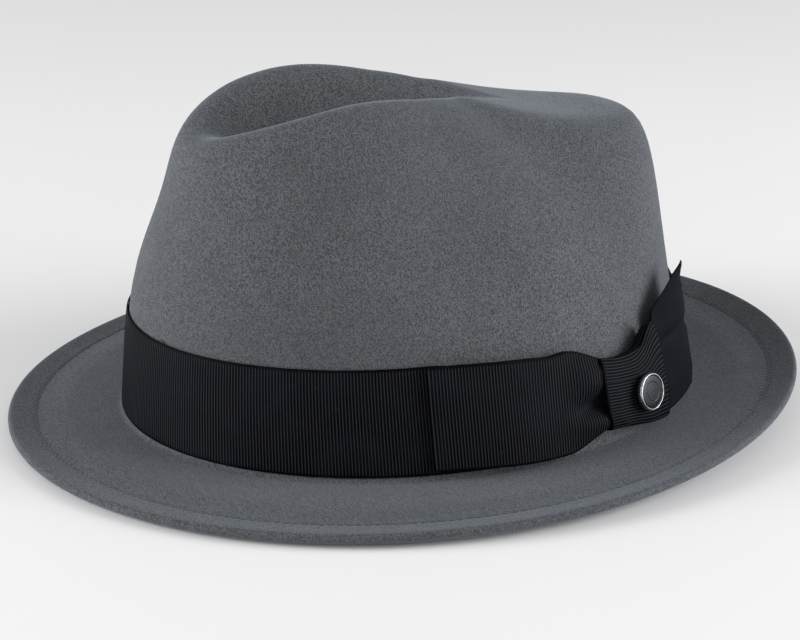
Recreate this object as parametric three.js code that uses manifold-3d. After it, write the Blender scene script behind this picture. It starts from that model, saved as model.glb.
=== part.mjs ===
// A trilby-style fedora in wool felt: a creased crown and short turned-under brim, a grosgrain
// band with a flat bow on the wearer's left, a small pinned badge, and the leather and satin
// inside. Millimetres, +Z up. The front of the hat faces -Y and the bow is on +X.
// The origin is on the table, under the middle of the brim.
import * as THREE from "three";
import { mergeVertices } from "three/addons/utils/BufferGeometryUtils.js";
import Module from "manifold-3d";

// ---- driving dimensions ------------------------------------------------------------------
const HEAD_HALF_WIDTH = 86; // outside of the felt at the brim break
const HEAD_HALF_LENGTH = 106;
const CROWN_HEIGHT = 122; // from the break to the highest ridge
const BRIM_WIDTH = 41.5;
const FELT = 2;
const BREAK_RADIUS = 2; // top side of the bend from wall to brim
const GAP = 0.3; // clearance between pieces that touch
const LOOSE = 1; // clearance of the lining, which hangs loose
const TIP_LOOSE = 1.8; // and of its tip, under the crease

const FRONT_LEAN = 0.076; // how far each wall leans in per millimetre of height
const BACK_LEAN = 0.165;
const SIDE_LEAN = 0.21;
const FRONT_HOLLOW = 7; // how far the front wall is pressed in
const HOLLOW_HEIGHT = 82; // where it is pressed in most, and how far the hollow spreads
const HOLLOW_SPREAD = 26;
const BROW_DROP = 8; // how far the top falls from its highest place to the brow
const BACK_DROP = 23; // and to the back
const FRONT_POWER = 5.2; // how square the crown's shoulder is: 2 is round, 20 is nearly square
const BACK_POWER = 20;
const SIDE_POWER = 2.75;

const CREASE_FRONT = -89; // the crease in the top runs along Y between these
const CREASE_BACK = 43;
const CREASE_HALF_WIDTH = 35.5;
const CREASE_DEPTH = 31;
const DIMPLE_DEPTH = 6; // the soft dent in each side wall
const DIMPLE_HEIGHT = 72;
const DIMPLE_FORWARD = 12; // from the middle of the side

const WELT_START = 0.74; // share of the brim's width where the turned-under edge begins
const STITCH_LINE = 0.76;
const WELT_FELT = 4; // two layers of felt
const EDGE_FRONT = 0.2; // heights of the brim's edge, from the break
const EDGE_SIDE = 2.4;
const EDGE_BACK = 9.9;
const EDGE_CURL = 0.8; // how far the welt curls up
const WELT_DIP = 1; // and how far the brim dips before it
const REST_DROP = 4.35; // from the break down to the table

const RIBBON_WIDTH = 36;
const RIBBON = 0.7;
const BAND_BOTTOM = 1.5;
const BAND_RISE = 4; // how far the knot draws the band's lower edge up
const BAND_FALL = 11; // and its upper edge down
const THREAD = 0.2; // radius
const TACKS = [15, 165, 255, 345]; // where the band is tacked down, in degrees from the front

const LOOP_FROM = 76.3; // places of the bow round the crown, in degrees from the front
const KNOT_FROM = 111;
const KNOT_TO = 129;
const KNOT_BOTTOM = 3; // heights above the break
const KNOT_TOP = 30.5;
const LOOP_END = 117;
const LOOP_BOTTOM = 3.3; // at its fold
const LOOP_TOP = 37.8;
const LOOP_SAG = 1.5; // how much lower it hangs past the fold
const TAIL_START = 124;
const TAIL_TO = 143;
const TAIL_TIP = 50.6;
const BADGE_AT = 121.4;
const BADGE_HEIGHT = 14.5;
const BADGE_RADIUS = 6.6;

const SWEATBAND_TOP = 48;
const LEATHER = 1;
const SATIN = 0.5;
const TIP_EDGE = 0.5; // where the lining's side meets its tip: 0 is the break, 1 the crown's centre

const ROUND = 48; // facets round the hat
const TOP_CLIMBS = [0.52, 0.57, 0.63, 0.7, 0.77, 0.84, 0.91, 0.96]; // rings over the crown's top

// ---- small maths -------------------------------------------------------------------------
const degrees = (a) => (a * Math.PI) / 180;
const mix = (a, b, s) => a + (b - a) * s;
const steps = (n) => Array.from({ length: n + 1 }, (_, i) => i / n);

function smooth(from, to, value) {
  const s = Math.min(Math.max((value - from) / (to - from), 0), 1);
  return s * s * (3 - 2 * s);
}

// ---- the felt's outer surface ------------------------------------------------------------
// Height of the uncreased crown above the break: highest over the brow, falling to the back.
function crownTop(y) {
  return CROWN_HEIGHT - BROW_DROP * smooth(-45, -95, y) - BACK_DROP * smooth(-40, 74, y);
}

function squareness(turn) {
  const c = Math.cos(turn);
  if (c > 0) return mix(SIDE_POWER, FRONT_POWER, c ** 1.5);
  return mix(SIDE_POWER, BACK_POWER, c ** 8);
}

// The crease: an egg-shaped hollow in the top, broad over the brow and narrow at the back.
function creaseDrop(x, y, z) {
  const along = Math.min(Math.max((y - CREASE_FRONT) / (CREASE_BACK - CREASE_FRONT), 0), 1);
  const egg = Math.sin(Math.PI * along ** 0.6);
  if (egg < 1e-6) return 0;
  const across = Math.min(Math.abs(x) / (CREASE_HALF_WIDTH * egg), 1);
  const depth = CREASE_DEPTH * egg ** 2 * mix(0.4, 1, smooth(-88, -45, y));
  return depth * 0.5 * (1 + Math.cos(Math.PI * across)) * smooth(60, 100, z);
}

function dimplePush(turn, y, z) {
  const side = Math.sin(turn);
  const spread = Math.exp(-(((y + DIMPLE_FORWARD) / 32) ** 2) - ((z - DIMPLE_HEIGHT) / 20) ** 2);
  return Math.sign(side) * DIMPLE_DEPTH * spread * smooth(0, 0.8, Math.abs(side));
}

// A point at a height above the break and a share of the wall's distance from the middle.
function creased(turn, reach, z) {
  const halfWidth = HEAD_HALF_WIDTH - SIDE_LEAN * z;
  const hollow = FRONT_HOLLOW * Math.exp(-(((z - HOLLOW_HEIGHT) / HOLLOW_SPREAD) ** 2));
  const front = HEAD_HALF_LENGTH - FRONT_LEAN * z - hollow;
  const back = HEAD_HALF_LENGTH - BACK_LEAN * z;
  const x = reach * halfWidth * Math.sin(turn);
  const y = (back - front) / 2 - (reach * (front + back) * Math.cos(turn)) / 2;
  return new THREE.Vector3(x - dimplePush(turn, y, z), y, z - creaseDrop(x, y, z) + REST_DROP);
}

// The crown from the break (climb 0) to the middle of its top (climb 1).
function crown(turn, climb) {
  const lay = ((1 - climb) * Math.PI) / 2;
  const power = squareness(turn);
  const size = (Math.sin(lay) ** power + Math.cos(lay) ** power) ** (1 / power);
  const reach = Math.sin(lay) / size;
  return creased(turn, reach, (crownTop(-90 * reach * Math.cos(turn)) * Math.cos(lay)) / size);
}

// The crown's wall at a height above the break; below the break it runs straight on.
function wall(turn, height) {
  const power = squareness(turn);
  const share = Math.max(height, 0) / crownTop(-90 * Math.cos(turn));
  return creased(turn, (1 - share ** power) ** (1 / power), height);
}

// A surface moved out along its own normal.
function offset(surface, turn, along, out) {
  const near = Math.min(along, surface === crown ? 0.98 : Infinity);
  const round = surface(turn + 1e-3, near).sub(surface(turn - 1e-3, near));
  const up = surface(turn, near + 1e-3).sub(surface(turn, near - 1e-3));
  const normal = round.cross(up).normalize();
  return surface(turn, along).addScaledVector(normal, out);
}

// The brim from the break (share 0) to its edge (share 1), with a height above the felt's top side.
function brim(turn, share, above) {
  const middle = (EDGE_FRONT + EDGE_BACK) / 2;
  const edge = (middle + EDGE_SIDE) / 2 - ((EDGE_BACK - EDGE_FRONT) / 2) * Math.cos(turn)
    + ((middle - EDGE_SIDE) / 2) * Math.cos(2 * turn);
  const curl = EDGE_CURL * smooth(STITCH_LINE, 1, share) - WELT_DIP * smooth(0.45, STITCH_LINE, share);
  const z = edge * Math.max(share, 0) ** 1.4 + curl + above;
  return new THREE.Vector3(
    (HEAD_HALF_WIDTH + BRIM_WIDTH * share) * Math.sin(turn),
    -(HEAD_HALF_LENGTH + BRIM_WIDTH * share) * Math.cos(turn),
    Math.max(z + REST_DROP, 0), // the lowest felt flattens on the table
  );
}

// ---- closed solids -----------------------------------------------------------------------
// Joins loops of equal length into a closed surface. A loop of one point closes an end.
function geometryFromLoops(loops, closed) {
  const points = [];
  const triangles = [];
  const starts = loops.map((loop) => {
    points.push(...loop);
    return points.length - loop.length;
  });
  const pairs = closed ? loops.length : loops.length - 1;
  for (let i = 0; i < pairs; i++) {
    const k = (i + 1) % loops.length;
    const count = Math.max(loops[i].length, loops[k].length);
    for (let j = 0; j < count; j++) {
      const at = (loop, n) => starts[loop] + (n % loops[loop].length);
      if (loops[i].length > 1) triangles.push(at(i, j), at(i, j + 1), at(k, j + 1));
      if (loops[k].length > 1) triangles.push(at(i, j), at(k, j + 1), at(k, j));
    }
  }
  return { points, triangles };
}

// Turns the surface to face out and makes the geometry.
function finish({ points, triangles }) {
  const [a, b, c] = [new THREE.Vector3(), new THREE.Vector3(), new THREE.Vector3()];
  let volume = 0;
  for (let i = 0; i < triangles.length; i += 3) {
    a.copy(points[triangles[i]]);
    b.copy(points[triangles[i + 1]]);
    c.copy(points[triangles[i + 2]]);
    volume += a.dot(b.cross(c));
  }
  if (volume < 0) triangles.reverse();
  const geometry = new THREE.BufferGeometry().setFromPoints(points);
  geometry.setIndex(triangles);
  geometry.computeVertexNormals();
  return geometry;
}

// A strip of cloth or leather: the middle surface place(u, v) given a thickness.
function strip(place, lengthSteps, widthSteps, thickness, closed = false) {
  const side = (u, v, out) => {
    const along = place(u + 1e-4, v).sub(place(u - 1e-4, v));
    const across = place(u, v + 1e-4).sub(place(u, v - 1e-4));
    return place(u, v).addScaledVector(along.cross(across).normalize(), out);
  };
  const across = steps(widthSteps);
  const stations = steps(lengthSteps).slice(0, closed ? lengthSteps : lengthSteps + 1);
  const loops = stations.map((u) => [
    ...across.map((v) => side(u, v, thickness / 2)),
    ...across.map((v) => side(u, 1 - v, -thickness / 2)),
  ]);
  const made = geometryFromLoops(loops, closed);
  if (!closed) {
    const size = loops[0].length;
    const last = (loops.length - 1) * size;
    for (let i = 0; i < widthSteps; i++) {
      const corners = [i, i + 1, size - 2 - i, size - 1 - i];
      for (const [p, q, r] of [[0, 2, 1], [0, 3, 2]]) {
        made.triangles.push(corners[p], corners[q], corners[r]);
        made.triangles.push(last + corners[p], last + corners[r], last + corners[q]);
      }
    }
  }
  return finish(made);
}

// A round cord laid along a closed path.
function cordRing(path, radius, sides) {
  const loops = steps(ROUND).slice(0, ROUND).map((u) => {
    const turn = 2 * Math.PI * u;
    const out = new THREE.Vector3(Math.sin(turn), -Math.cos(turn), 0);
    return steps(sides).slice(0, sides).map((v) => {
      const a = 2 * Math.PI * v;
      const point = path(turn).addScaledVector(out, radius * Math.cos(a));
      point.z += radius * Math.sin(a);
      return point;
    });
  });
  return finish(geometryFromLoops(loops, true));
}

// ---- pieces ------------------------------------------------------------------------------
// Crown and brim, one piece of felt, its edge turned under.
function feltBody() {
  const turns = steps(ROUND).slice(0, ROUND).map((u) => 2 * Math.PI * u);
  const ring = (place) => turns.map(place);
  const bend = (turn, angle, radius) => {
    const centre = BREAK_RADIUS / BRIM_WIDTH;
    const out = centre - (radius * Math.cos(angle)) / BRIM_WIDTH;
    const point = brim(turn, out, 0);
    point.z = BREAK_RADIUS - radius * Math.sin(angle) + REST_DROP;
    return point;
  };
  const bendAngles = [0.25, 0.55, 0.8].map((s) => (s * Math.PI) / 2);
  const thickness = (share) =>
    mix(FELT + 0.9, WELT_FELT, smooth(STITCH_LINE + 0.01, 0.84, share)) - 1.6 * smooth(0.94, 1, share);
  const shares = [0.12, 0.3, 0.5, 0.66];
  const weltShares = [STITCH_LINE, 0.82, 0.87, 0.92, 0.97];
  const climbs = [0.3, 0.335, 0.37, 0.405, 0.44, 0.48, ...TOP_CLIMBS];
  const wallHeights = [46, 34, 22, 12, BREAK_RADIUS];
  const loops = [
    [offset(crown, 0, 1, -FELT)],
    ...[...climbs].reverse().map((c) => ring((t) => offset(crown, t, c, -FELT))),
    ...wallHeights.map((h) => ring((t) => offset(wall, t, h, -FELT))),
    ...bendAngles.map((a) => ring((t) => bend(t, a, BREAK_RADIUS + FELT))),
    ...shares.map((s) => ring((t) => brim(t, s, -FELT))),
    ring((t) => brim(t, WELT_START, -FELT)),
    ...weltShares.map((s) => ring((t) => brim(t, s, -thickness(s)))),
    ring((t) => brim(t, 1, -0.6 * WELT_FELT)),
    ring((t) => brim(t, 1, -0.2 * WELT_FELT)),
    ...[...weltShares].reverse().map((s) => ring((t) => brim(t, s, 0))),
    ...[...shares].reverse().map((s) => ring((t) => brim(t, s, 0))),
    ...[...bendAngles].reverse().map((a) => ring((t) => bend(t, a, BREAK_RADIUS))),
    ...[...wallHeights].reverse().map((h) => ring((t) => wall(t, h))),
    ...climbs.map((c) => ring((t) => crown(t, c))),
    [crown(0, 1)],
  ];
  return finish(geometryFromLoops(loops, false));
}

// A band on the wall, between two heights, standing off the felt's outer surface.
function wallBand(bottom, top, standOff, thickness, heightSteps) {
  const place = (u, v) => offset(wall, 2 * Math.PI * u, mix(bottom, top, v), standOff);
  return strip(place, ROUND, heightSteps, thickness, true);
}

const BAND_OUT = GAP + RIBBON / 2;
const KNOT_BACK = BAND_OUT + RIBBON + 1.5 * GAP;
const KNOT_FRONT = 8.1;
const LOOP_BACK = KNOT_BACK + RIBBON + GAP;
const bandTop = BAND_BOTTOM + RIBBON_WIDTH;

// The hat band, gathered in where the bow's knot is wrapped round it.
function hatBand() {
  const place = (u, v) => {
    const angle = 360 * u;
    const gather = smooth(90, KNOT_FROM + 2, angle) - smooth(KNOT_TO - 4, TAIL_TO, angle);
    const low = BAND_BOTTOM + BAND_RISE * gather;
    const high = bandTop - BAND_FALL * gather;
    return offset(wall, degrees(angle), mix(low, high, v), BAND_OUT);
  };
  return strip(place, ROUND, 3, RIBBON, true);
}

// A place on the bow: degrees round the crown, height above the break, distance off the felt.
function bowPlace(angle, height, out) {
  return offset(wall, degrees(angle), height, out);
}

// The front loop: a ribbon folded back on itself, gathered where the knot holds it.
function bowLoop() {
  const sag = (angle) => LOOP_SAG * smooth(LOOP_FROM, 98, angle);
  const gather = (angle) => smooth(KNOT_FROM - 9, KNOT_FROM + 2, angle);
  const low = (angle) => mix(LOOP_BOTTOM - sag(angle), KNOT_BOTTOM + 6, gather(angle));
  const high = (angle) => mix(LOOP_TOP - sag(angle), KNOT_TOP - 6, gather(angle));
  const puff = (angle) => 2.6 * Math.sin(Math.PI * smooth(LOOP_FROM, LOOP_END, angle)) + 1.6;
  const turnBack = 0.12; // share of the strip that goes round the fold
  const place = (u, v) => {
    const run = (0.5 - Math.abs(u - 0.5)) / (0.5 - turnBack / 2);
    const angle = mix(LOOP_END, LOOP_FROM, Math.sin((Math.min(run, 1.15) * Math.PI) / 2.3));
    const side = smooth(0.5 - turnBack, 0.5 + turnBack, u);
    const out = LOOP_BACK + side * puff(angle);
    return bowPlace(angle, mix(low(angle), high(angle), v), out);
  };
  return strip(place, 26, 4, RIBBON);
}

// The knot: a ribbon wrapped once round the gathered ribbons, with a hole for the badge's pin.
function bowKnot(wasm) {
  const middle = (KNOT_BOTTOM + KNOT_TOP) / 2;
  const halfHeight = (KNOT_TOP - KNOT_BOTTOM) / 2;
  const depth = (KNOT_FRONT - KNOT_BACK) / 2;
  const squared = (value) => Math.sign(value) * Math.abs(value) ** 0.45;
  const place = (u, v) => {
    const a = 2 * Math.PI * u;
    const height = middle + halfHeight * squared(Math.sin(a));
    const out = KNOT_BACK + depth * (1 + squared(Math.cos(a)));
    return bowPlace(mix(KNOT_FROM, KNOT_TO, v), height, out);
  };
  const knot = strip((u, v) => place(u + 0.0137, v), 28, 3, RIBBON, true);
  const drill = new THREE.CylinderGeometry(0.9, 0.9, 4, 12).rotateX(Math.PI / 2);
  drill.applyMatrix4(badgeFrame(KNOT_FRONT));
  return cut(wasm, knot, drill);
}

// The tail: the ribbon's end, spreading up and away behind the knot, cut on a slant.
function bowTail() {
  const place = (u, v) => {
    const low = mix(KNOT_BOTTOM + 6, KNOT_BOTTOM + 1.5, smooth(0, 0.6, u));
    const high = mix(KNOT_TOP - 6, TAIL_TIP, smooth(0, 1.1, u));
    const angle = mix(TAIL_START, TAIL_TO, u);
    return bowPlace(angle, mix(low, high, v), mix(KNOT_BACK + 1.6, 8, smooth(0.1, 0.9, u)));
  };
  return strip(place, 8, 4, RIBBON);
}

// The badge's own frame: its middle on the knot, +Z pointing away from the crown.
function badgeFrame(out) {
  const origin = bowPlace(BADGE_AT, BADGE_HEIGHT, out);
  const normal = bowPlace(BADGE_AT, BADGE_HEIGHT, out + 1).sub(origin).normalize();
  const turned = new THREE.Quaternion().setFromUnitVectors(new THREE.Vector3(0, 0, 1), normal);
  return new THREE.Matrix4().compose(origin, turned, new THREE.Vector3(1, 1, 1));
}

// A turned piece from an outline of [radius, height] points, bottom to top.
function turned(outline, segments = 24) {
  const profile = outline.map(([radius, height]) => new THREE.Vector2(radius, height));
  const lathe = new THREE.LatheGeometry(profile, segments);
  lathe.deleteAttribute("normal");
  lathe.deleteAttribute("uv");
  return mergeVertices(lathe.rotateX(Math.PI / 2), 1e-4);
}

const BADGE_SEAT = KNOT_FRONT + RIBBON / 2 + GAP + 0.2; // underside of the badge, off the felt
const badgeParts = {
  badge_rim: [
    [0, 0], [BADGE_RADIUS, 0], [BADGE_RADIUS, 1.8], [BADGE_RADIUS - 0.2, 2.1],
    [BADGE_RADIUS - 0.5, 2.2], [BADGE_RADIUS - 0.7, 1.9], [BADGE_RADIUS - 0.7, 1.2], [0, 1.2],
  ],
  badge_face: [
    [0, 1.4], [BADGE_RADIUS - 1, 1.4], [BADGE_RADIUS - 1, 1.9], [BADGE_RADIUS - 1.6, 2.1],
    [3.5, 2.2], [3.4, 2.1], [3.2, 2.1], [3.1, 2.2], [0, 2.3],
  ],
  badge_post: [[0, -3.1], [0.25, -2.9], [0.5, -2.4], [0.5, -0.2], [0, -0.2]],
  badge_clutch: [
    [0.8, -2.4], [2.4, -2.4], [2.6, -2.2], [2.6, -1.7], [2.4, -1.5], [0.8, -1.5], [0.8, -2.4],
  ],
};

// Cuts one closed geometry out of another.
function cut(wasm, geometry, tool) {
  const solid = (source) => {
    const plain = source.clone();
    plain.deleteAttribute("normal");
    plain.deleteAttribute("uv");
    const merged = mergeVertices(plain, 1e-4);
    return new wasm.Manifold(
      new wasm.Mesh({
        numProp: 3,
        vertProperties: merged.attributes.position.array,
        triVerts: new Uint32Array(merged.index.array),
      }),
    );
  };
  const mesh = solid(geometry).subtract(solid(tool)).getMesh();
  const result = new THREE.BufferGeometry();
  result.setAttribute("position", new THREE.BufferAttribute(mesh.vertProperties, 3));
  result.setIndex(new THREE.BufferAttribute(mesh.triVerts, 1));
  result.computeVertexNormals();
  return result;
}

// The lining: a side wall from behind the sweatband up to the piping, and a tip across the top.
const LINING_OUT = -(FELT + LOOSE + SATIN / 2);

function liningSide() {
  const place = (u, v) => offset(crown, 2 * Math.PI * u, mix(0.07, TIP_EDGE - 0.01, v), LINING_OUT);
  return strip(place, ROUND, 14, SATIN, true);
}

function liningTip() {
  const turns = steps(ROUND).slice(0, ROUND).map((u) => 2 * Math.PI * u);
  const layer = (out) => TOP_CLIMBS.map((c) => turns.map((t) => offset(crown, t, c, out)));
  const above = -(FELT + TIP_LOOSE);
  const below = above - SATIN;
  const loops = [
    [offset(crown, 0, 1, below)],
    ...layer(below).reverse(),
    ...layer(above),
    [offset(crown, 0, 1, above)],
  ];
  return finish(geometryFromLoops(loops, false));
}

// ---- the sweatband and what is sewn to it --------------------------------------------------
const SWEATBAND_OUT = -(FELT + LOOSE + SATIN + LOOSE + LEATHER / 2);
const INSIDE_SWEATBAND = SWEATBAND_OUT - LEATHER / 2 - GAP;

// A flat patch on the inside of the sweatband, centred on an angle and a height.
function insidePatch(angle, height, widthDegrees, tall, thickness, standOff) {
  const place = (u, v) => {
    const turn = degrees(angle + (u - 0.5) * widthDegrees);
    return offset(wall, turn, height + (v - 0.5) * tall(u), standOff);
  };
  return strip(place, 8, 2, thickness);
}

// A small tack of thread, lying along the top edge of the band.
function tack(angle) {
  const bar = new THREE.CylinderGeometry(THREAD, THREAD, 2.4, 8);
  bar.rotateZ(degrees(angle - 90));
  return bar.translate(...bowPlace(angle, bandTop + GAP + THREAD, 2 * THREAD).toArray());
}

// ---- materials -----------------------------------------------------------------------------
const finishOf = (color, roughness, metalness = 0) =>
  new THREE.MeshStandardMaterial({ color, roughness, metalness });
const felt = finishOf(0x55595f, 0.95);
const feltThread = finishOf(0x2f3338, 0.8);
const grosgrain = finishOf(0x111318, 0.7);
const blackThread = finishOf(0x0c0c0e, 0.8);
const leather = finishOf(0x2a2422, 0.55);
const satin = finishOf(0x24262c, 0.4);
const piping = finishOf(0x3a3d44, 0.5);
const labelCloth = finishOf(0xb9b6ad, 0.7);
const chrome = finishOf(0xb8bbc0, 0.2, 1);
const gunmetal = finishOf(0x55565b, 0.35, 1);
const steel = finishOf(0x9a9ca0, 0.3, 1);

// ---- the hat -------------------------------------------------------------------------------
const wasm = await Module();
wasm.setup();

const hat = new THREE.Group();

function add(name, geometry, material) {
  const mesh = new THREE.Mesh(geometry, material);
  mesh.name = name;
  hat.add(mesh);
}

add("felt_body", feltBody(), felt);
const stitchAbove = (t) => brim(t, STITCH_LINE, GAP + THREAD);
const stitchBelow = (t) => brim(t, STITCH_LINE, -(FELT + 0.9 + 0.15 + THREAD));
add("welt_stitch_top", cordRing(stitchAbove, THREAD, 4), feltThread);
add("welt_stitch_under", cordRing(stitchBelow, THREAD, 4), feltThread);

add("hat_band", hatBand(), grosgrain);
TACKS.forEach((angle, i) => {
  add(`band_tack_${i + 1}`, tack(angle), blackThread);
});

add("bow_loop", bowLoop(), grosgrain);
add("bow_knot", bowKnot(wasm), grosgrain);
add("bow_tail", bowTail(), grosgrain);

const badge = new THREE.Group();
badge.applyMatrix4(badgeFrame(BADGE_SEAT));
const badgeFinish = { badge_rim: chrome, badge_face: gunmetal, badge_post: steel, badge_clutch: steel };
for (const [name, outline] of Object.entries(badgeParts)) {
  const mesh = new THREE.Mesh(turned(outline), badgeFinish[name]);
  mesh.name = name;
  badge.add(mesh);
}
hat.add(badge);

add("sweatband", wallBand(-1.5, SWEATBAND_TOP, SWEATBAND_OUT, LEATHER, 4), leather);
const reedLine = (t) => offset(wall, t, -1, -2);
const sewingLine = (t) => offset(wall, t, -1.6, -0.7);
add("sweatband_reed", cordRing(reedLine, 0.7, 6), piping);
add("sweatband_stitch", cordRing(sewingLine, THREAD, 4), blackThread);
const tapeOut = INSIDE_SWEATBAND - SATIN / 2;
add("sweatband_seam_tape", insidePatch(180, 24, 7, () => 44, SATIN, tapeOut), leather);
const bowHeight = (u) => 3 + 5 * Math.abs(2 * u - 1);
const smallBowOut = tapeOut - SATIN / 2 - GAP - 0.5;
add("sweatband_bow", insidePatch(180, 8, 13, bowHeight, 1, smallBowOut), grosgrain);
const labelOut = INSIDE_SWEATBAND - SATIN / 2;
add("size_label", insidePatch(196, 24, 10, () => 11, SATIN, labelOut), labelCloth);

add("lining_side", liningSide(), satin);
add("lining_tip", liningTip(), satin);
const pipingLine = (t) => offset(crown, t, TIP_EDGE, -(FELT + LOOSE + SATIN + LOOSE + 0.6));
add("lining_piping", cordRing(pipingLine, 0.6, 6), piping);

export default hat;
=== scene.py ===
"""The looks of the fedora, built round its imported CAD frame.

Lengths are in millimetres until a mesh is made. The hat's front faces -Y, the bow is on +X,
and z is 0 on the table. A turn is an angle round the crown from the front, in radians.
"""

import math
from collections import namedtuple

import bmesh
import bpy
import numpy as np
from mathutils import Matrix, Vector


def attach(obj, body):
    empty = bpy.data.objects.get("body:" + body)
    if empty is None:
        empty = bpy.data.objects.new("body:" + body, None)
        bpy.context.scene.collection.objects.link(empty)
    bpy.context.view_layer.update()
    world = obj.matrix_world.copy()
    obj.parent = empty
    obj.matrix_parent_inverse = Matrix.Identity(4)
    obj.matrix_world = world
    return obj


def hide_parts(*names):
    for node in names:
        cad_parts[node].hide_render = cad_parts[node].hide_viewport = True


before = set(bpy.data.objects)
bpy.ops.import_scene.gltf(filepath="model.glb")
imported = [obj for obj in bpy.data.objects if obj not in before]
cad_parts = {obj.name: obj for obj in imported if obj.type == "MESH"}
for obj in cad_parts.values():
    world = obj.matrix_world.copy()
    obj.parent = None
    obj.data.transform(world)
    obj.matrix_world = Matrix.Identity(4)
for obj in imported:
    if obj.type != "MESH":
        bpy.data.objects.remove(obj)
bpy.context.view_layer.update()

MM = 0.001
UP = np.array([0, 0, 1.0])
ONE_TURN = 2 * np.pi

# ---- the hat's dimensions, as in the CAD source ----
HEAD_HALF_WIDTH = 86  # outside of the felt at the brim break
HEAD_HALF_LENGTH = 106
CROWN_HEIGHT = 122  # from the break to the highest ridge
BRIM_WIDTH = 41.5
FELT = 2
BREAK_RADIUS = 2  # top side of the bend from wall to brim
GAP = 0.3  # clearance between pieces that touch
LOOSE = 1  # clearance of the lining, which hangs loose
TIP_LOOSE = 1.8  # and of its tip, under the crease

FRONT_LEAN = 0.076  # how far each wall leans in per millimetre of height
BACK_LEAN = 0.165
SIDE_LEAN = 0.21
FRONT_HOLLOW = 7  # how far the front wall is pressed in
HOLLOW_HEIGHT = 82  # where it is pressed in most, and how far the hollow spreads
HOLLOW_SPREAD = 26
BROW_DROP = 8  # how far the top falls from its highest place to the brow
BROW_FALLS = (-45, -95)  # the stretch along Y in which it falls
BACK_DROP = 23  # and to the back
BACK_FALLS = (-40, 74)
TOP_HALF_LENGTH = 90  # of the crown's top, along Y
FRONT_POWER = 5.2  # how square the crown's shoulder is: 2 is round, 20 is nearly square
BACK_POWER = 20
SIDE_POWER = 2.75

CREASE_FRONT = -89  # the crease in the top runs along Y between these
CREASE_BACK = 43
CREASE_HALF_WIDTH = 35.5
CREASE_DEPTH = 31
CREASE_EGG = 0.6  # under 1, it is widest towards the brow
CREASE_MOUTH = 0.4  # share of its depth at the brow, and where it deepens to all of it
CREASE_DEEPENS = (-88, -45)
CREASE_FADES = (60, 100)  # heights between which the felt follows the crease
DIMPLE_DEPTH = 6  # the soft dent in each side wall
DIMPLE_HEIGHT = 72
DIMPLE_FORWARD = 12  # from the middle of the side
DIMPLE_SPREAD = (32, 20)  # along and up the side

WELT_START = 0.74  # share of the brim's width where the turned-under edge begins
STITCH_LINE = 0.76
WELT_FELT = 4  # two layers of felt
EDGE_FRONT = 0.2  # heights of the brim's edge, from the break
EDGE_SIDE = 2.4
EDGE_BACK = 9.9
EDGE_CURL = 0.8  # how far the welt curls up
WELT_DIP = 1  # and how far the brim dips before it
DIP_START = 0.45
BRIM_SWEEP = 1.4  # over 1, the brim rises most near its edge
REST_DROP = 4.35  # from the break down to the table

RIBBON_WIDTH = 36
RIBBON = 0.7
BAND_BOTTOM = 1.5
BAND_TOP = BAND_BOTTOM + RIBBON_WIDTH
BAND_RISE = 4  # how far the knot draws the band's lower edge up
BAND_FALL = 11  # and its upper edge down
THREAD = 0.2  # radius
TACKS = [15, 165, 255, 345]  # where the band is tacked down, in degrees from the front

LOOP_FROM = 76.3  # places of the bow round the crown, in degrees from the front
KNOT_FROM = 111
KNOT_TO = 129
KNOT_BOTTOM = 3  # heights above the break
KNOT_TOP = 30.5
LOOP_END = 117
LOOP_BOTTOM = 3.3  # at its fold
LOOP_TOP = 37.8
LOOP_SAG = 1.5  # how much lower it hangs past the fold
TAIL_START = 124
TAIL_TO = 143
TAIL_TIP = 50.6
BADGE_AT = 121.4
BADGE_HEIGHT = 14.5
BADGE_RADIUS = 6.6

SWEATBAND_TOP = 48
LEATHER = 1
SATIN = 0.5
TIP_EDGE = 0.5  # where the lining's side meets its tip: 0 is the break, 1 the crown's centre

# Distances of the pieces' middle surfaces from the outside of the felt; the inside is negative.
BAND_OUT = GAP + RIBBON / 2
KNOT_BACK = BAND_OUT + RIBBON + 1.5 * GAP
KNOT_FRONT = 8.1
LOOP_BACK = KNOT_BACK + RIBBON + GAP
LINING_OUT = -(FELT + LOOSE + SATIN / 2)
PIPING_OUT = -(FELT + LOOSE + SATIN + LOOSE + 0.6)
SWEATBAND_OUT = -(FELT + LOOSE + SATIN + LOOSE + LEATHER / 2)
TAPE_OUT = SWEATBAND_OUT - LEATHER / 2 - GAP - SATIN / 2
INSIDE_BOW_OUT = TAPE_OUT - SATIN / 2 - GAP - 0.5

# ---- detail that the CAD doesn't hold ----
RIB_PITCH = 1.1  # of the grosgrain, along the ribbon
RIB_HEIGHT = 0.13
SMOOTH_RIB_HEIGHT = 0.03  # on the side that the tail shows
STEPS_PER_RIB = 8
LENGTH_STEPS = 3001  # for measuring a strip's length
RIB_FULLNESS = 0.7  # under 1, the ribs are wide and their gaps narrow
WARP_PITCH = 0.42  # of its threads, across the ribbon
SELVEDGE = 1.3  # the ribs are full this far in from the edges
PLAIN_EDGE = 0.5  # and there are none out here, where the edge rounds off
EDGE_THINNESS = 0.35  # share of the thickness left at the very edge
EDGE_SHARES = [0.004, 0.012, 0.988, 0.996]  # extra lines of points where a strip's edges round off

STITCHES = 284
STITCH_SHARE = 0.72  # of the pitch; the rest is under the felt
GROOVE = 0.18  # how deep the stitches pull into the felt
PUCKER = 0.1  # and how far the felt puckers beside them
SEAM_STEP = 0.9  # how much thicker the brim is where its edge is turned under
EDGE_ROUND = 1.4  # how far in the brim's edge is rounded
SEWING_STITCHES = 230
ROUND = 4 * STITCHES  # columns of points round the felt

PIT_HEIGHT = 15.5  # where the loop's pleat runs under the knot
FAN = 2  # degrees that the loop's edges lag behind its pleat
BADGE_SIDES = 96
BADGE_BEVEL = 0.12

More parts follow.
